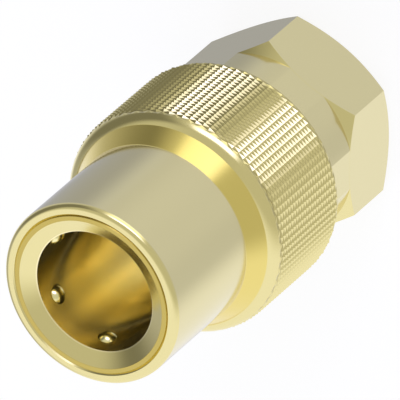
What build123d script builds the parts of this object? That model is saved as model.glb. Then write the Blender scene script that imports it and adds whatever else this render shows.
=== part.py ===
from build123d import *
import math
import os

os.makedirs("parts", exist_ok=True)

# Half-inch quick coupling, socket half, standing on its hexagon end.
# Z runs along the bore from the rear face up to the mouth. All lengths are in millimetres.

# Plug bore and locking balls
plug_bore_radius = 8.94
plug_bore_depth = 31.0
ball_count = 6
ball_diameter = 2.778
ball_depth = 4.6
ball_protrusion = 0.8
ball_lift = 0.82
ball_to_land = 0.42
ball_to_relief = 0.115
pocket_clearance = 0.035
pocket_lip_radius = 1.36
pocket_lip_gap = 0.05

# Front body
flange_thickness = 2.8
nose_land_width = 0.69
lead_in_depth = 1.12
nose_edge_round = 0.06
barrel_length = 30.2
screw_length = 6.0
screw_step = 0.6
flow_radius = 7.5

# Rear adapter
adapter_length = 24.8
hex_across_flats = 27.0
hex_corner_length = 7.92
rear_chamfer_height = 1.9
hex_chamfer_angle = 36.0
neck_radius = 13.82
neck_fillet = 0.5
port_radius = 10.45
port_depth = 14.5
port_entry_chamfer = 0.9
drill_point_angle = 118.0
thread_clearance = 0.05

# Locking sleeve
sleeve_length = 38.15
lip_overhang = 0.05
lip_round = 0.8
lip_inner_edge = 0.2
front_wall = 1.567
rim_gap = 0.1
stop_gap = 0.05
cam_rise = 0.3
cam_length = 0.35
land_length = 4.4
relief_length = 10.0
relief_depth = 0.35
land_running_clearance = 0.215
sleeve_shoulder_depth = 22.0
skirt_clearance = 0.13
skirt_entry_chamfer = 0.5
cone_base_depth = 18.6
cone_length = 2.76
cone_rise = 1.67
cone_base_fillet = 0.35
collar_radius = 16.75
collar_front_round = 2.4
collar_rear_chamfer = 0.35

# Straight knurl
knurl_columns = 100
knurl_depth = 0.4
knurl_blank_allowance = 0.05

# Sleeve spring
spring_wire_diameter = 1.2
spring_turns = 4.5
spring_wire_sides = 6

# Seals
bore_seal_section = 1.5
bore_seal_squeeze = 0.15
seal_groove_depth_from_nose = 21.3
backup_ring_width = 1.2
backup_ring_clearance = 0.06
seal_side_clearance = 0.3
joint_seal_section = 1.5
joint_seal_squeeze = 0.1
joint_groove_width = 2.0
joint_groove_end_wall = 0.8
seal_fit_gap = 0.02
groove_overcut = 0.3

# Levels along Z
seat_z = adapter_length
screw_z = seat_z - screw_length
flange_z = seat_z + barrel_length
nose_z = flange_z + flange_thickness
lip_z = nose_z + lip_overhang
sleeve_end_z = lip_z - sleeve_length
ball_z = nose_z - ball_depth
shoulder_z = nose_z - sleeve_shoulder_depth

# Radii that follow from the balls
ball_radius = ball_diameter / 2
ball_ring_radius = plug_bore_radius - ball_protrusion + ball_radius
ball_top_radius = ball_ring_radius + ball_radius
land_radius = ball_top_radius + ball_to_land
relief_radius = ball_top_radius + ball_lift + ball_to_relief
barrel_radius = land_radius - land_running_clearance
flange_radius = relief_radius - rim_gap
mouth_radius = flange_radius - nose_land_width
tube_radius = relief_radius + front_wall
screw_radius = barrel_radius - screw_step
skirt_radius = neck_radius + skirt_clearance
blank_radius = collar_radius + knurl_blank_allowance

# Rings that sit in the grooves
bore_groove_radius = plug_bore_radius + bore_seal_section - bore_seal_squeeze
bore_groove_width = bore_seal_section + backup_ring_width + 2 * seal_side_clearance
bore_groove_z = nose_z - seal_groove_depth_from_nose
socket_radius = screw_radius + thread_clearance
joint_groove_radius = socket_radius - joint_seal_section + joint_seal_squeeze
joint_seal_radius = (socket_radius - joint_groove_radius) / 2 - seal_fit_gap
joint_groove_z = screw_z + joint_groove_end_wall + joint_groove_width / 2

# Front body: nose flange, smooth barrel for the sleeve, plug bore and screwed rear end
with BuildPart() as front_body:
    plug_stop_z = nose_z - plug_bore_depth
    with BuildSketch(Plane.XZ):
        with BuildLine():
            Polyline(
                (mouth_radius, nose_z),
                (flange_radius - nose_edge_round, nose_z),
                (flange_radius, nose_z - nose_edge_round),
                (flange_radius, flange_z),
                (barrel_radius, flange_z),
                (barrel_radius, seat_z),
                (screw_radius, seat_z),
                (screw_radius, screw_z),
                (flow_radius, screw_z),
                (flow_radius, plug_stop_z - (plug_bore_radius - flow_radius)),
                (plug_bore_radius, plug_stop_z),
                (plug_bore_radius, nose_z - lead_in_depth),
                close=True,
            )
        make_face()
    revolve(axis=Axis.Z)
    # Square grooves for the bore seal with its backup ring, and for the joint seal on the screwed end
    with BuildSketch(Plane.XZ):
        with Locations((bore_groove_radius, bore_groove_z)):
            Rectangle(
                bore_groove_radius - plug_bore_radius + groove_overcut,
                bore_groove_width,
                align=(Align.MAX, Align.MAX),
            )
        with Locations((joint_groove_radius, joint_groove_z)):
            Rectangle(
                screw_radius - joint_groove_radius + groove_overcut,
                joint_groove_width,
                align=(Align.MIN, Align.CENTER),
            )
    revolve(axis=Axis.Z, mode=Mode.SUBTRACT)
    # Each ball pocket is drilled from outside and stops short of the bore, which leaves a small lip
    lip_reach = math.sqrt((ball_radius + pocket_lip_gap / 2) ** 2 - pocket_lip_radius**2)
    pocket_floor_radius = ball_ring_radius - lip_reach
    with Locations((0, 0, ball_z)):
        with PolarLocations(pocket_floor_radius, ball_count, start_angle=90):
            Cylinder(
                ball_radius + pocket_clearance,
                flange_radius,
                rotation=(0, 90, 0),
                align=(Align.CENTER, Align.CENTER, Align.MIN),
                mode=Mode.SUBTRACT,
            )
        with PolarLocations(plug_bore_radius / 2, ball_count, start_angle=90):
            Cylinder(
                pocket_lip_radius,
                barrel_radius - plug_bore_radius / 2,
                rotation=(0, 90, 0),
                align=(Align.CENTER, Align.CENTER, Align.MIN),
                mode=Mode.SUBTRACT,
            )
front_body.part.label = "front_body"
export_step(front_body.part, "parts/front_body.step")

# Rear adapter: hexagon, neck that guides the sleeve's skirt, socket for the front body and pipe port
with BuildPart() as rear_adapter:
    corner_radius = hex_across_flats / 2 / math.cos(math.radians(30))
    chamfer_slope = math.tan(math.radians(hex_chamfer_angle))
    rear_face_radius = corner_radius - rear_chamfer_height / chamfer_slope
    corner_top_z = rear_chamfer_height + hex_corner_length
    neck_base_z = corner_top_z + (corner_radius - neck_radius) * chamfer_slope
    drill_cone = (port_radius - flow_radius) / math.tan(math.radians(drill_point_angle / 2))
    with BuildSketch(Plane.XZ) as turned_profile:
        with BuildLine():
            Polyline(
                (port_radius + port_entry_chamfer, 0),
                (rear_face_radius, 0),
                (corner_radius, rear_chamfer_height),
                (corner_radius, corner_top_z),
                (neck_radius, neck_base_z),
                (neck_radius, seat_z),
                (socket_radius, seat_z),
                (socket_radius, screw_z - thread_clearance),
                (flow_radius, screw_z - thread_clearance),
                (flow_radius, port_depth + drill_cone),
                (port_radius, port_depth),
                (port_radius, port_entry_chamfer),
                close=True,
            )
        make_face()
        neck_corner = turned_profile.vertices().sort_by_distance((neck_radius, 0, neck_base_z))[0]
        fillet(neck_corner, neck_fillet)
    revolve(axis=Axis.Z)
    with BuildSketch():
        RegularPolygon(hex_across_flats / 2, 6, major_radius=False, rotation=30)
    extrude(amount=seat_z, mode=Mode.INTERSECT)
rear_adapter.part.label = "rear_adapter"
export_step(rear_adapter.part, "parts/rear_adapter.step")

# Sleeve: front tube, cone and knurled collar in one turning. The land inside holds the balls in, and
# the wider front bore lets them out once the sleeve is drawn back.
with BuildPart() as sleeve:
    lip_centre_radius = tube_radius - lip_round
    lip_centre_z = lip_z - lip_round
    lip_middle = (
        lip_centre_radius + lip_round * math.cos(math.pi / 4),
        lip_centre_z + lip_round * math.sin(math.pi / 4),
    )
    cone_base_z = nose_z - cone_base_depth
    cone_top_z = cone_base_z - cone_length
    cone_top_radius = tube_radius + cone_rise
    corner_centre_radius = blank_radius - collar_front_round
    corner_sweep = math.acos((cone_top_radius - corner_centre_radius) / collar_front_round)
    corner_centre_z = cone_top_z - collar_front_round * math.sin(corner_sweep)
    corner_middle = (
        corner_centre_radius + collar_front_round * math.cos(corner_sweep / 2),
        corner_centre_z + collar_front_round * math.sin(corner_sweep / 2),
    )
    stop_z = flange_z - stop_gap
    land_z = stop_z - cam_length
    middle_relief_z = land_z - land_length
    guide_z = middle_relief_z - relief_length
    with BuildSketch(Plane.XZ) as sleeve_profile:
        with BuildLine():
            ThreePointArc((tube_radius, lip_centre_z), lip_middle, (lip_centre_radius, lip_z))
            Polyline(
                (lip_centre_radius, lip_z),
                (relief_radius + lip_inner_edge, lip_z),
                (relief_radius, lip_z - lip_inner_edge),
                (relief_radius, stop_z),
                (relief_radius - cam_rise, stop_z),
                (land_radius, land_z),
                (land_radius, middle_relief_z),
                (land_radius + relief_depth, middle_relief_z - relief_depth),
                (land_radius + relief_depth, guide_z + relief_depth),
                (land_radius, guide_z),
                (land_radius, shoulder_z),
                (skirt_radius, shoulder_z),
                (skirt_radius, sleeve_end_z + skirt_entry_chamfer),
                (skirt_radius + skirt_entry_chamfer, sleeve_end_z),
                (blank_radius - collar_rear_chamfer, sleeve_end_z),
                (blank_radius, sleeve_end_z + collar_rear_chamfer),
                (blank_radius, corner_centre_z),
            )
            ThreePointArc((blank_radius, corner_centre_z), corner_middle, (cone_top_radius, cone_top_z))
            Polyline(
                (cone_top_radius, cone_top_z), (tube_radius, cone_base_z), (tube_radius, lip_centre_z)
            )
        make_face()
        cone_base = sleeve_profile.vertices().sort_by_distance((tube_radius, 0, cone_base_z))[0]
        fillet(cone_base, cone_base_fillet)
    revolve(axis=Axis.Z)
    # The knurling tool leaves vee flutes along the collar that run out over its rounded front corner
    with BuildSketch(Plane.XY.offset(sleeve_end_z)):
        with BuildLine():
            flute_points = []
            for flank in range(2 * knurl_columns):
                flank_radius = collar_radius - knurl_depth * (flank % 2)
                flank_angle = math.pi * flank / knurl_columns
                flute_points.append(
                    (flank_radius * math.cos(flank_angle), flank_radius * math.sin(flank_angle))
                )
            Polyline(*flute_points, close=True)
        make_face()
    extrude(amount=sleeve_length, mode=Mode.INTERSECT)
sleeve.part.label = "sleeve"
export_step(sleeve.part, "parts/sleeve.step")

# Locking balls, each in its own pocket, one of them in line with a corner of the hexagon
for ball_index in range(ball_count):
    ball_angle = math.radians(90 + 360 * ball_index / ball_count)
    ball_centre = (
        ball_ring_radius * math.cos(ball_angle),
        ball_ring_radius * math.sin(ball_angle),
        ball_z,
    )
    with BuildPart() as ball:
        with Locations(ball_centre):
            Sphere(ball_radius)
    ball_name = f"ball_{ball_index + 1}"
    ball.part.label = ball_name
    export_step(ball.part, f"parts/{ball_name}.step")

# Sleeve spring: wire between the adapter's front face and the shoulder inside the sleeve, with the
# round section of the wire drawn as a polygon of few sides
with BuildPart() as sleeve_spring:
    spring_radius = (barrel_radius + skirt_radius) / 2
    spring_rise = shoulder_z - seat_z - spring_wire_diameter
    with BuildLine() as coil:
        Helix(
            pitch=spring_rise / spring_turns,
            height=spring_rise,
            radius=spring_radius,
            center=(0, 0, seat_z + spring_wire_diameter / 2),
        )
    with BuildSketch(Plane(origin=coil.line @ 0, z_dir=coil.line % 0)):
        RegularPolygon(spring_wire_diameter / 2, spring_wire_sides)
    sweep(is_frenet=True)
sleeve_spring.part.label = "sleeve_spring"
export_step(sleeve_spring.part, "parts/sleeve_spring.step")

# Bore seal: O-ring on the pressure side of its groove, which is the side away from the mouth
with BuildPart() as bore_seal:
    with Locations((0, 0, bore_groove_z - bore_groove_width + seal_side_clearance + bore_seal_section / 2)):
        Torus(bore_groove_radius - bore_seal_section / 2 - seal_fit_gap, bore_seal_section / 2)
bore_seal.part.label = "bore_seal"
export_step(bore_seal.part, "parts/bore_seal.step")

# Backup ring: flat ring that keeps the O-ring out of the gap on the mouth side of the same groove
with BuildPart() as backup_ring:
    with BuildSketch(Plane.XY.offset(bore_groove_z - backup_ring_width - seal_fit_gap)):
        Circle(bore_groove_radius - seal_fit_gap)
        Circle(plug_bore_radius + backup_ring_clearance, mode=Mode.SUBTRACT)
    extrude(amount=backup_ring_width)
backup_ring.part.label = "backup_ring"
export_step(backup_ring.part, "parts/backup_ring.step")

# Joint seal: O-ring round the front body's screwed end, drawn as squeezed in its groove
with BuildPart() as joint_seal:
    with Locations((0, 0, joint_groove_z)):
        Torus((joint_groove_radius + socket_radius) / 2, joint_seal_radius)
joint_seal.part.label = "joint_seal"
export_step(joint_seal.part, "parts/joint_seal.step")
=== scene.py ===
import math
import bmesh
import bpy
from mathutils import Matrix, Vector


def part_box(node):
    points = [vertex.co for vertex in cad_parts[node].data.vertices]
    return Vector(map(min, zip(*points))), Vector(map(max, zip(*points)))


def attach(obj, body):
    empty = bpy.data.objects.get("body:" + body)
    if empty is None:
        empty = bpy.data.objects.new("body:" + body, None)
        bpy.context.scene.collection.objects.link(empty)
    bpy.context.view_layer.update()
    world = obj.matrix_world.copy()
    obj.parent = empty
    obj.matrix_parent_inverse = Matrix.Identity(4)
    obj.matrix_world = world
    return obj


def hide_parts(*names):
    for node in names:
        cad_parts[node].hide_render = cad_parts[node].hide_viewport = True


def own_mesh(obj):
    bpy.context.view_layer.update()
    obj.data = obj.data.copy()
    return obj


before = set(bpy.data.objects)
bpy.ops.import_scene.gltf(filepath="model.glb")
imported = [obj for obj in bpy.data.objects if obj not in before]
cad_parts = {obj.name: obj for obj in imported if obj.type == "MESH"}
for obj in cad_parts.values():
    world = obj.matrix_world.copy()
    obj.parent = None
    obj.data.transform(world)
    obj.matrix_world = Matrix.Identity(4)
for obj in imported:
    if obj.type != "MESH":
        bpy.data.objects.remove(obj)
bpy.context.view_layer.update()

# Rear adapter. The hexagon end with its guiding neck is turned from hexagonal brass bar, bored for a
# pipe thread and screwed onto the front body. It shows faint rings from the lathe. Everywhere but on
# the cone that takes off the hexagon's corners it carries a painted reflection: a paler gold.


class Wire:
    """An output socket inside a node tree. Arithmetic on it adds the Math nodes that work it out."""

    def __init__(self, tree, socket=None):
        self.tree = tree
        self.socket = socket

    def node(self, kind, settings=(), inputs=(), output=0):
        """Adds a node of any kind, sets its settings and then the values or links of its sockets."""
        made = self.tree.nodes.new(kind)
        for name, value in dict(settings).items():
            setattr(made, name, value)
        for name, value in dict(inputs).items():
            if isinstance(value, Wire):
                value.into(made, name)
            else:
                made.inputs[name].default_value = value
        return Wire(self.tree, made.outputs[output])

    def into(self, node, name):
        """Leads this wire into a socket of a node that is there already."""
        self.tree.links.new(self.socket, node.inputs[name])

    def beside(self, output):
        """Another output of the node that this wire comes out of."""
        return Wire(self.tree, self.socket.node.outputs[output])

    def math(self, operation, first, second=0.0):
        return self.node("ShaderNodeMath", {"operation": operation}, {0: first, 1: second})

    def __add__(self, other):
        return self.math("ADD", self, other)

    __radd__ = __add__

    def __sub__(self, other):
        return self.math("SUBTRACT", self, other)

    def __rsub__(self, other):
        return self.math("SUBTRACT", other, self)

    def __mul__(self, other):
        return self.math("MULTIPLY", self, other)

    __rmul__ = __mul__

    def __truediv__(self, other):
        return self.math("DIVIDE", self, other)

    def __pow__(self, other):
        return self.math("POWER", self, other)

    def __abs__(self):
        return self.math("ABSOLUTE", self)

    def step(self, low, high):
        """A smooth step that is 0 up to low and 1 from high."""
        return self.node(
            "ShaderNodeMapRange",
            {"interpolation_type": "SMOOTHSTEP"},
            {"Value": self, "From Min": low, "From Max": high},
        )

    def blend(self, first, second):
        """The first colour where this mask is 0 and the second where it is 1."""
        return self.node(
            "ShaderNodeMix", {"data_type": "RGBA"}, {0: self, 6: first, 7: second}, output=2
        )


mm = 0.001
soft_edge = 0.1
brass_gold = (0.80, 0.70, 0.31, 1.0)
# Painted reflection: a paler gold for the straight turned faces, whose reflections look paler.
pale_gold_painted_reflection = (0.79, 0.71, 0.385, 1.0)
# Painted light: a brighter gold inside the bores, so that these recesses come out lighter.
bright_gold_painted_light = (0.99, 0.87, 0.46, 1.0)
ring_width = 0.12
ring_depth = 0.02
ring_bump = 0.05
ring_dullness = 0.05
cloud_scale = 90.0
cloud_dullness = 0.04


def new_finish(name):
    """A new material, with a wire on its node tree and its surface shader."""
    material = bpy.data.materials.new(name)
    material.use_nodes = True
    return material, Wire(material.node_tree), material.node_tree.nodes["Principled BSDF"]


def grain(wire, scale):
    """An even noise all through the piece."""
    spot = wire.node("ShaderNodeTexCoord", output="Object")
    return wire.node("ShaderNodeTexNoise", inputs={"Vector": spot, "Scale": scale})


def place_on_turning(wire):
    """The height along the axis and the distance from it, in millimetres."""
    spot = wire.node("ShaderNodeTexCoord", output="Object")
    x = wire.node("ShaderNodeSeparateXYZ", inputs={0: spot})
    y = x.beside("Y")
    z = x.beside("Z")
    return z / mm, (x * x + y * y) ** 0.5 / mm


def lathe_rings(wire, height, radius):
    """Fine rings left by the tool: a noise that changes along the axis and across it, but not round it."""
    across = wire.node("ShaderNodeCombineXYZ", inputs={0: radius / ring_width, 1: height / ring_width})
    return wire.node(
        "ShaderNodeTexNoise", inputs={"Vector": across, "Scale": 1.0, "Detail": 3.0, "Roughness": 0.6}
    )


def turned_brass(name, satin, *zones):
    """Turned brass. Satin gives its roughness, and each zone is a mask and the colour that it lays on.
    Both are worked out from the height and the radius."""
    material, wire, shader = new_finish(name)
    height, radius = place_on_turning(wire)
    rings = lathe_rings(wire, height, radius)
    cloud = grain(wire, cloud_scale)
    colour = brass_gold
    for mask, zone_colour in zones:
        colour = mask(height, radius).blend(colour, zone_colour)
    colour.into(shader, "Base Color")
    unevenness = (rings - 0.5) * ring_dullness + (cloud - 0.5) * cloud_dullness
    (satin(height, radius) + unevenness).into(shader, "Roughness")
    bump = wire.node(
        "ShaderNodeBump", inputs={"Strength": ring_bump, "Distance": ring_depth * mm, "Height": rings}
    )
    bump.into(shader, "Normal")
    shader.inputs["Metallic"].default_value = 1.0
    return material


hexagon_corner_top = 9.82
hexagon_corner_radius = 15.588
shoulder_angle = 36
shoulder_slope = math.tan(math.radians(shoulder_angle))
shoulder_skin = 0.03
port_wall_radius = 11.0
adapter_satin = 0.16


# Painted reflection: this mask lays the paler gold on everything but the shoulder cone.
def off_shoulder(height, radius):
    """Everywhere but on the cone that takes off the hexagon's front corners."""
    above_shoulder = height - hexagon_corner_top - (hexagon_corner_radius - radius) * shoulder_slope
    return abs(above_shoulder).step(shoulder_skin, 2 * shoulder_skin)


# Painted light: this mask lays the brighter gold in the pipe port.
def in_pipe_port(height, radius):
    """On the port's wall and on the thread in it."""
    return 1 - radius.step(port_wall_radius, port_wall_radius + soft_edge)


adapter_brass = turned_brass(
    "adapter_brass",
    lambda height, radius: adapter_satin,
    (off_shoulder, pale_gold_painted_reflection),
    (in_pipe_port, bright_gold_painted_light),
)
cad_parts["rear_adapter"].material_slots[0].material = adapter_brass


# Front body. The nose flange, the barrel that the sleeve slides on and the plug bore are one brass
# turning, with six drilled pockets for the balls. The bore is reamed, which leaves it smooth.
nose_height = 57.8
mouth_radius = 11.06
plug_bore_radius = 8.94
body_satin = 0.13
bore_satin = 0.19
# Painted shade: a darker gold for the flat ring round the mouth.
dark_gold_painted_shade = (0.56, 0.43, 0.105, 1.0)


# Painted light: this mask lays the brighter gold on the bore, and it also gives the bore a rougher finish.
def in_plug_bore(height, radius):
    """On the wall of the plug bore and on what stands into it."""
    return 1 - radius.step(plug_bore_radius + soft_edge, plug_bore_radius + 2 * soft_edge)


# Painted shade: this mask lays the darker gold on the flat ring round the mouth.
def nose_face(height, radius):
    """On the flat ring round the mouth."""
    at_front = height.step(nose_height - soft_edge, nose_height - soft_edge / 2)
    return at_front * radius.step(mouth_radius - soft_edge / 2, mouth_radius)


body_brass = turned_brass(
    "body_brass",
    lambda height, radius: body_satin + in_plug_bore(height, radius) * (bore_satin - body_satin),
    (in_plug_bore, bright_gold_painted_light),
    (nose_face, dark_gold_painted_shade),
)
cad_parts["front_body"].material_slots[0].material = body_brass


# Locking balls. Six hard bright balls sit in the pockets of the nose, 60 degrees apart, and stand a
# little way into the bore. They are lapped, so that they have no marks of a tool.
ball_count = 6
ball_gold = (0.95, 0.87, 0.46, 1.0)
ball_gold_deep = (0.92, 0.84, 0.41, 1.0)
ball_grain_edge = (0.3, 0.7)
ball_satin = 0.16
ball_unevenness = 0.05
ball_material, ball_wire, ball_shader = new_finish("ball_brass")
ball_grain = grain(ball_wire, scale=900.0)
ball_grain.step(*ball_grain_edge).blend(ball_gold, ball_gold_deep).into(ball_shader, "Base Color")
(ball_satin + ball_grain * ball_unevenness).into(ball_shader, "Roughness")
ball_shader.inputs["Metallic"].default_value = 1.0
for ball_number in range(1, ball_count + 1):
    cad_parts[f"ball_{ball_number}"].material_slots[0].material = ball_material


# Seals. Two moulded rubber rings close the plug bore and the joint between body and adapter, and a
# cut plastic ring backs the one in the bore. They are pressed into turned grooves.
rubber_black = (0.012, 0.012, 0.012, 1.0)
rubber_grey = (0.03, 0.03, 0.03, 1.0)
rubber_roughness = 0.4
rubber_unevenness = 0.2
rubber, rubber_wire, rubber_shader = new_finish("seal_rubber")
rubber_grain = grain(rubber_wire, scale=1500.0)
rubber_grain.blend(rubber_black, rubber_grey).into(rubber_shader, "Base Color")
(rubber_roughness + rubber_grain * rubber_unevenness).into(rubber_shader, "Roughness")
for seal in ("bore_seal", "joint_seal"):
    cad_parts[seal].material_slots[0].material = rubber

plastic_cream = (0.80, 0.78, 0.72, 1.0)
plastic_white = (0.88, 0.87, 0.82, 1.0)
plastic_roughness = 0.5
backup, backup_wire, backup_shader = new_finish("backup_plastic")
grain(backup_wire, scale=700.0).blend(plastic_cream, plastic_white).into(backup_shader, "Base Color")
backup_shader.inputs["Roughness"].default_value = plastic_roughness
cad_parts["backup_ring"].material_slots[0].material = backup


# Sleeve spring. A coil of round steel wire lies in the space between neck and barrel and pushes the
# sleeve forward. It is cold wound, and shortens towards the adapter's face as the sleeve is drawn back.
def make_piece(name, work, material, body):
    """Turns work in millimetres into a piece in metres that rides on a body."""
    bmesh.ops.scale(work, vec=(mm, mm, mm), verts=work.verts)
    mesh = bpy.data.meshes.new(name)
    work.to_mesh(mesh)
    work.free()
    mesh.materials.append(material)
    piece = bpy.data.objects.new(name, mesh)
    bpy.context.scene.collection.objects.link(piece)
    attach(piece, body)
    return piece


spring_low, spring_high = (corner.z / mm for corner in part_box("sleeve_spring"))
spring_wire_radius = 0.6
spring_wire_sides = 16
spring_turns = 4.5
spring_coil_radius = 12.54
spring_steps_per_turn = 48

steel_dark = (0.42, 0.42, 0.41, 1.0)
steel_light = (0.60, 0.60, 0.58, 1.0)
steel_roughness = 0.22
steel_unevenness = 0.16
steel, steel_wire, steel_shader = new_finish("spring_steel")
steel_grain = grain(steel_wire, scale=1200.0)
steel_grain.blend(steel_dark, steel_light).into(steel_shader, "Base Color")
(steel_roughness + steel_grain * steel_unevenness).into(steel_shader, "Roughness")
steel_shader.inputs["Metallic"].default_value = 1.0

coil = bmesh.new()
bmesh.ops.create_circle(coil, cap_ends=True, segments=spring_wire_sides, radius=spring_wire_radius)
bmesh.ops.rotate(coil, cent=(0, 0, 0), matrix=Matrix.Rotation(math.pi / 2, 3, "X"), verts=coil.verts)
bmesh.ops.translate(
    coil, vec=(spring_coil_radius, 0, spring_low + spring_wire_radius), verts=coil.verts
)
coil_steps = round(spring_turns * spring_steps_per_turn)
coil_rise = spring_high - spring_low - 2 * spring_wire_radius
bmesh.ops.spin(
    coil,
    geom=coil.verts[:] + coil.edges[:] + coil.faces[:],
    cent=(0, 0, 0),
    axis=(0, 0, 1),
    dvec=(0, 0, coil_rise / coil_steps),
    angle=math.tau * spring_turns,
    steps=coil_steps,
)
bmesh.ops.recalc_face_normals(coil, faces=coil.faces)
for face in coil.faces:
    face.smooth = len(face.verts) < spring_wire_sides
spring = make_piece("round_wire_spring", coil, steel, "body")
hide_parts("sleeve_spring")
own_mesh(spring)


# Locking sleeve. Tube, cone and collar are one brass turning with a rounded lip round the mouth. The
# collar carries a diamond knurl, rolled in by a pair of wheels whose grooves cross.
lip_height = 57.85
tube_radius = 13.42
lip_round = 0.8
front_bore_radius = 11.76
lip_inner_edge = 0.29
land_radius = 11.338
land_top = 54.6
cam_foot = 54.95
cam_rise = 0.3
relief_top = 50.2
relief_foot = 40.2
relief_depth = 0.35
shoulder_height = 35.8
skirt_radius = 13.95
skirt_foot = 19.7
skirt_entry = 0.5
collar_radius = 16.75
collar_rear_chamfer = 0.35
collar_rear_slope = 0.5
cone_base_height = 39.2
cone_top_height = 36.44
cone_top_radius = 15.09
cone_base_round = 0.35
collar_front_round = 2.4
collar_corner_steps = 12
knurl_rings = 46
knurl_columns = 100
turning_steps = 200
fewest_round_steps = 4
degrees_per_round_step = 4
crease_angle = 25
weld_distance = 0.001


def turning(corners, steps):
    """A closed outline of (radius, height, corner round), spun about the axis as on a lathe."""
    work = bmesh.new()
    outline = [work.verts.new((radius, 0, height)) for radius, height, _ in corners]
    for start, end in zip(outline, outline[1:] + outline[:1]):
        work.edges.new((start, end))
    for corner, (_, _, corner_round) in zip(outline, corners):
        if corner_round:
            arms = [edge.other_vert(corner).co - corner.co for edge in corner.link_edges]
            half_turn = (math.pi - arms[0].angle(arms[1])) / 2
            round_steps = round(math.degrees(half_turn) / degrees_per_round_step)
            bmesh.ops.bevel(
                work,
                geom=[corner],
                offset=corner_round * math.tan(half_turn),
                offset_type="OFFSET",
                segments=max(fewest_round_steps, round_steps),
                profile=0.5,
                affect="VERTICES",
                material=-1,
            )
    bmesh.ops.remove_doubles(work, verts=work.verts, dist=weld_distance)
    bmesh.ops.spin(
        work,
        geom=work.verts[:] + work.edges[:],
        cent=(0, 0, 0),
        axis=(0, 0, 1),
        angle=math.tau,
        steps=steps,
        use_merge=True,
    )
    bmesh.ops.recalc_face_normals(work, faces=work.faces)
    return work


def keep_creases(work):
    """Smooth shading that stops at every edge sharper than the crease angle."""
    for face in work.faces:
        face.smooth = True
    for edge in work.edges:
        edge.smooth = edge.is_manifold and edge.calc_face_angle() < math.radians(crease_angle)


valley_radius = collar_radius - collar_rear_chamfer
corner_centre = collar_radius - collar_front_round
corner_sweep = math.acos((cone_top_radius - corner_centre) / collar_front_round)
corner_foot = cone_top_height - collar_front_round * math.sin(corner_sweep)
knurl_sweep = math.acos((valley_radius - corner_centre) / collar_front_round)
knurl_front = corner_foot + collar_front_round * math.sin(knurl_sweep)


def crest_radius(height):
    """The radius that the tips of the knurl reach: less at the rear end and over the front corner."""
    over_corner = max(0.0, height - corner_foot)
    rear_end = valley_radius + (height - skirt_foot) * collar_rear_slope
    return min(rear_end, corner_centre + math.sqrt(collar_front_round**2 - over_corner**2))


def corner_point(step):
    """A point of the collar's rounded front corner, from the end of the knurl up to the cone."""
    turn = knurl_sweep + (corner_sweep - knurl_sweep) * step / collar_corner_steps
    return (
        corner_centre + collar_front_round * math.cos(turn),
        corner_foot + collar_front_round * math.sin(turn),
        0,
    )


sleeve_outline = [
    (tube_radius, lip_height, lip_round),
    (front_bore_radius + lip_inner_edge, lip_height, 0),
    (front_bore_radius, lip_height - lip_inner_edge, 0),
    (front_bore_radius, cam_foot, 0),
    (front_bore_radius - cam_rise, cam_foot, 0),
    (land_radius, land_top, 0),
    (land_radius, relief_top, 0),
    (land_radius + relief_depth, relief_top - relief_depth, 0),
    (land_radius + relief_depth, relief_foot + relief_depth, 0),
    (land_radius, relief_foot, 0),
    (land_radius, shoulder_height, 0),
    (skirt_radius, shoulder_height, 0),
    (skirt_radius, skirt_foot + skirt_entry, 0),
    (skirt_radius + skirt_entry, skirt_foot, 0),
    (valley_radius, skirt_foot, 0),
    *(corner_point(step) for step in range(collar_corner_steps + 1)),
    (tube_radius, cone_base_height, cone_base_round),
]
sleeve_work = turning(sleeve_outline, turning_steps)
on_surface = 0.01
plain_collar = [
    face
    for face in sleeve_work.faces
    if all(abs(vert.co.xy.length - valley_radius) < on_surface for vert in face.verts)
]
bmesh.ops.delete(sleeve_work, geom=plain_collar, context="FACES")
keep_creases(sleeve_work)

# The knurled band takes the plain collar's place. Every second vertex of its net is a raised tip, and
# its rims are cut as finely as the turning that they are welded to.
ring_gap = (knurl_front - skirt_foot) / knurl_rings
knurl_work = bmesh.new()
knurl_ends = [knurl_work.verts.new((valley_radius, 0, height)) for height in (skirt_foot, knurl_front)]
knurl_line = knurl_work.edges.new(knurl_ends)
bmesh.ops.subdivide_edges(knurl_work, edges=[knurl_line], cuts=knurl_rings - 1)
bmesh.ops.spin(
    knurl_work,
    geom=knurl_work.verts[:] + knurl_work.edges[:],
    cent=(0, 0, 0),
    axis=(0, 0, 1),
    angle=math.tau,
    steps=knurl_columns,
    use_merge=True,
)
for vert in knurl_work.verts:
    ring = round((vert.co.z - skirt_foot) / ring_gap)
    column = round(math.atan2(vert.co.y, vert.co.x) / math.tau * knurl_columns)
    if 0 < ring < knurl_rings and (ring + column) % 2 == 0:
        vert.co.xy *= crest_radius(vert.co.z) / valley_radius
rims = [edge for edge in knurl_work.edges if edge.is_boundary]
halved = bmesh.ops.subdivide_edges(knurl_work, edges=rims, cuts=turning_steps // knurl_columns - 1)
for item in halved["geom_inner"]:
    if isinstance(item, bmesh.types.BMVert):
        item.co.xy *= valley_radius / item.co.xy.length
bmesh.ops.triangulate(knurl_work, faces=knurl_work.faces, quad_method="SHORT_EDGE")
for edge in knurl_work.edges:
    edge.smooth = False
knurl_mesh = bpy.data.meshes.new("knurl")
knurl_work.to_mesh(knurl_mesh)
knurl_work.free()
sleeve_work.from_mesh(knurl_mesh)
bpy.data.meshes.remove(knurl_mesh)
bmesh.ops.remove_doubles(sleeve_work, verts=sleeve_work.verts, dist=weld_distance / 2)
bmesh.ops.recalc_face_normals(sleeve_work, faces=sleeve_work.faces)

sleeve_satin = 0.14
cone_extra_satin = 0.04
# Painted shade: a deeper, darker gold for the cone between collar and tube.
deep_gold_painted_shade = (0.80, 0.65, 0.19, 1.0)
# Painted shade: a dark brown laid into the knurl's grooves.
valley_painted_shade_colour = (0.27, 0.23, 0.10, 1.0)
valley_shade = 0.42
valley_shade_full = 0.01
valley_shade_end = 0.13
tube_skin_start = 12.8
tube_skin_full = 13.3


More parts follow.
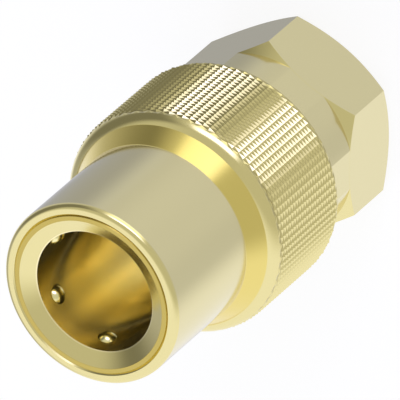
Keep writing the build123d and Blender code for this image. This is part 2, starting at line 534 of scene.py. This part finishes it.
def before_cone(height):
    """From the cone's front end to the lip."""
    return height.step(cone_base_height - soft_edge, cone_base_height + 2 * soft_edge)


# Painted shade: this mask lays the deeper gold on the cone, and it also makes the cone a little rougher.
def on_cone(height, radius):
    """On the cone between collar and tube."""
    past_collar = height.step(cone_top_height - soft_edge / 2, cone_top_height + soft_edge / 2)
    return past_collar * (1 - before_cone(height))


# Painted reflection: this mask lays the paler gold on the tube.
def on_tube(height, radius):
    """On the outside of the tube, up to its rounded lip."""
    lip_foot = lip_height - lip_round
    below_lip = 1 - height.step(lip_foot, lip_foot + 2 * soft_edge)
    return before_cone(height) * below_lip * radius.step(tube_skin_start, tube_skin_full)


def knurl_valleys(height, radius):
    """Painted shade in the grooves of the knurl, where little light reaches."""
    outside = radius.step(valley_radius - 2 * soft_edge, valley_radius - soft_edge)
    deep = 1 - radius.step(valley_radius + valley_shade_full, valley_radius + valley_shade_end)
    band_end = knurl_front - soft_edge / 2
    on_band = 1 - height.step(band_end - soft_edge, band_end)
    return outside * deep * on_band * valley_shade


sleeve_brass = turned_brass(
    "sleeve_brass",
    lambda height, radius: sleeve_satin + on_cone(height, radius) * cone_extra_satin,
    (on_tube, pale_gold_painted_reflection),
    (on_cone, deep_gold_painted_shade),
    (knurl_valleys, valley_painted_shade_colour),
)
sleeve = make_piece("knurled_sleeve", sleeve_work, sleeve_brass, "sleeve")
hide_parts("sleeve")
level = sleeve.modifiers.new("weighted_normals", "WEIGHTED_NORMAL")
level.keep_sharp = True


# Pipe thread. Cut inside the hexagon end, its ridge is part of the adapter's brass, and the male pipe
# end screws into it.
port_radius = 10.45
thread_crest_radius = 9.35
thread_pitch = 1.814
thread_crest_width = 0.35
thread_root_width = 1.5
thread_sink = 0.02
thread_turns = 6.4
thread_start = 1.5
thread_steps_per_turn = 72
thread_work = bmesh.new()
ridge = [
    (port_radius + thread_sink, -thread_root_width / 2),
    (thread_crest_radius, -thread_crest_width / 2),
    (thread_crest_radius, thread_crest_width / 2),
    (port_radius + thread_sink, thread_root_width / 2),
]
thread_work.faces.new(
    [thread_work.verts.new((radius, 0, thread_start + height)) for radius, height in ridge]
)
bmesh.ops.spin(
    thread_work,
    geom=thread_work.verts[:] + thread_work.edges[:] + thread_work.faces[:],
    cent=(0, 0, 0),
    axis=(0, 0, 1),
    dvec=(0, 0, thread_pitch / thread_steps_per_turn),
    angle=math.tau * thread_turns,
    steps=round(thread_turns * thread_steps_per_turn),
)
bmesh.ops.recalc_face_normals(thread_work, faces=thread_work.faces)
keep_creases(thread_work)
make_piece("pipe_thread", thread_work, adapter_brass, "body")


# Studio. A pale floor, a white backdrop and soft light all round, brighter on the open side. A strip
# lamp stands on one side, and beyond it a dark panel and a grey one. Polished metal looks past the
# floor at the studio around it.
floor_size = 2.0
floor_colour = (0.9, 0.9, 0.9, 1.0)
floor_roughness = 0.9
floor_glow_strength = 1.1
floor_glow_share = 0.75
floor_work = bmesh.new()
bmesh.ops.create_grid(floor_work, x_segments=1, y_segments=1, size=floor_size)
floor_mesh = bpy.data.meshes.new("floor")
floor_work.to_mesh(floor_mesh)
floor_work.free()
floor = bpy.data.objects.new("floor", floor_mesh)
bpy.context.scene.collection.objects.link(floor)
floor.visible_glossy = False

white = (1.0, 1.0, 1.0, 1.0)
floor_material, floor_wire, floor_shader = new_finish("pale_floor")
floor_shader.inputs["Base Color"].default_value = floor_colour
floor_shader.inputs["Roughness"].default_value = floor_roughness
floor_glow = floor_wire.node(
    "ShaderNodeEmission", inputs={"Color": white, "Strength": floor_glow_strength}
)
floor_seen = floor_wire.node("ShaderNodeLightPath", output="Is Camera Ray") * floor_glow_share
floor_mix = floor_wire.node(
    "ShaderNodeMixShader",
    inputs={0: floor_seen, 1: Wire(floor_wire.tree, floor_shader.outputs[0]), 2: floor_glow},
)
floor_mix.into(floor_wire.tree.nodes["Material Output"], "Surface")
floor_mesh.materials.append(floor_material)

world = bpy.data.worlds.new("studio")
world.use_nodes = True
bpy.context.scene.world = world
sky = Wire(world.node_tree)
ray = sky.node("ShaderNodeTexCoord", output="Generated")
ray_x = sky.node("ShaderNodeSeparateXYZ", inputs={0: ray})
ray_y = ray_x.beside("Y")
ray_z = ray_x.beside("Z")
straight_up_guard = 0.0001
ray_flat = (ray_x * ray_x + ray_y * ray_y + straight_up_guard) ** 0.5


def towards(azimuth):
    """How nearly a ray heads for an azimuth, seen from above: 1 straight at it and -1 straight away."""
    angle = math.radians(azimuth)
    return (ray_x * math.cos(angle) + ray_y * math.sin(angle)) / ray_flat


def standing(foot, foot_full, top_full, top):
    """1 between two heights of the ray, fading to 0 at the foot and at the top."""
    return ray_z.step(foot, foot_full) * (1 - ray_z.step(top_full, top))


room_light = 0.64
open_side_light = 0.42
open_side_x = -0.12
open_side_y = -0.99
open_side = (ray_x * open_side_x + ray_y * open_side_y).step(0.0, 0.5)

panel_azimuth = 156
panel_edge = (0.616, 0.906)
panel_heights = (-0.38, 0.06, 0.55, 0.82)
panel_light = 0.23
dark_panel = towards(panel_azimuth).step(*panel_edge) * standing(*panel_heights)

shade_azimuth = 214
shade_edge = (0.87, 0.99)
shade_heights = (-0.4, -0.05, 0.4, 0.7)
shade_depth = 0.5
side_shade = towards(shade_azimuth).step(*shade_edge) * standing(*shade_heights)

lamp_azimuth = 78
lamp_half_width = math.radians(27)
lamp_half_core = math.radians(13)
lamp_heights = (-0.73, -0.64, 0.56, 0.70)
lamp_top_edge = (0.2, 0.36)
lamp_light = 0.85
lamp_top_light = 0.85
strip_lamp = towards(lamp_azimuth).step(math.cos(lamp_half_width), math.cos(lamp_half_core))
strip_lamp = strip_lamp * standing(*lamp_heights)
lamp_top = ray_z.step(*lamp_top_edge) * strip_lamp

room = (room_light + open_side * open_side_light) * (1 - dark_panel)
around = room * (1 - side_shade * shade_depth) + dark_panel * panel_light
around = around + strip_lamp * lamp_light + lamp_top * lamp_top_light

# Steep below, the light is even apart from three patches: azimuth, start of the soft edge, and gain.
low_edge = (-0.72, -0.6)
low_light = 0.68
dim_azimuth = 175
patches = [(-75, 0.5, 0.32), (55, 0.55, 0.05), (dim_azimuth, 0.55, -0.24)]
patch_full = 0.95
below = low_light
for patch_azimuth, patch_start, patch_gain in patches:
    below = below + towards(patch_azimuth).step(patch_start, patch_full) * patch_gain
low = 1 - ray_z.step(*low_edge)
strength = around * (1 - low) + below * low

low_white = (1.0, 1.01, 1.10, 1.0)
low_blue = (1.0, 1.03, 1.24, 1.0)
room_white = (1.0, 1.0, 0.97, 1.0)
open_side_blue = (1.0, 1.02, 1.18, 1.0)
lamp_top_blue = (1.0, 1.02, 1.8, 1.0)
low_blue_start = 0.3
horizon_edge = (-0.4, 0.2)
low_tint = towards(dim_azimuth).step(low_blue_start, patch_full).blend(low_white, low_blue)
room_tint = open_side.blend(room_white, open_side_blue)
tint = lamp_top.blend(ray_z.step(*horizon_edge).blend(low_tint, room_tint), lamp_top_blue)
studio_light = sky.node("ShaderNodeBackground", inputs={"Color": tint, "Strength": strength})
backdrop = sky.node("ShaderNodeBackground", inputs={"Color": white, "Strength": 1.0})
world_mix = sky.node(
    "ShaderNodeMixShader",
    inputs={0: sky.node("ShaderNodeLightPath", output="Is Camera Ray"), 1: studio_light, 2: backdrop},
)
world_mix.into(sky.tree.nodes["World Output"], "Surface")


# Camera. A long lens looks at the mouth from the front right, turned so that the coupling lies along
# the picture's diagonal with its mouth at the lower left.
lens = 1500.0
sensor = 36.0
picture_width = 54.07
depth_of_sharp_size = 21.7
nearest_seen = 0.1
picture_centre = Vector((9.54, 11.02, 44.95))
picture_right = Vector((math.sqrt(0.75), 0, -0.5))
to_camera = Vector((math.sqrt(0.1875), 0.5, 0.75))
picture_up = to_camera.cross(picture_right)
camera_data = bpy.data.cameras.new("camera")
camera_data.lens = lens
camera_data.sensor_width = sensor
camera_data.clip_start = nearest_seen
camera = bpy.data.objects.new("camera", camera_data)
bpy.context.scene.collection.objects.link(camera)
camera_distance = picture_width * lens / sensor - depth_of_sharp_size
turned = Matrix((picture_right, picture_up, to_camera)).transposed().to_4x4()
camera.matrix_world = Matrix.Translation((picture_centre + to_camera * camera_distance) * mm) @ turned
bpy.context.scene.camera = camera
bpy.context.scene.view_settings.view_transform = "Standard"
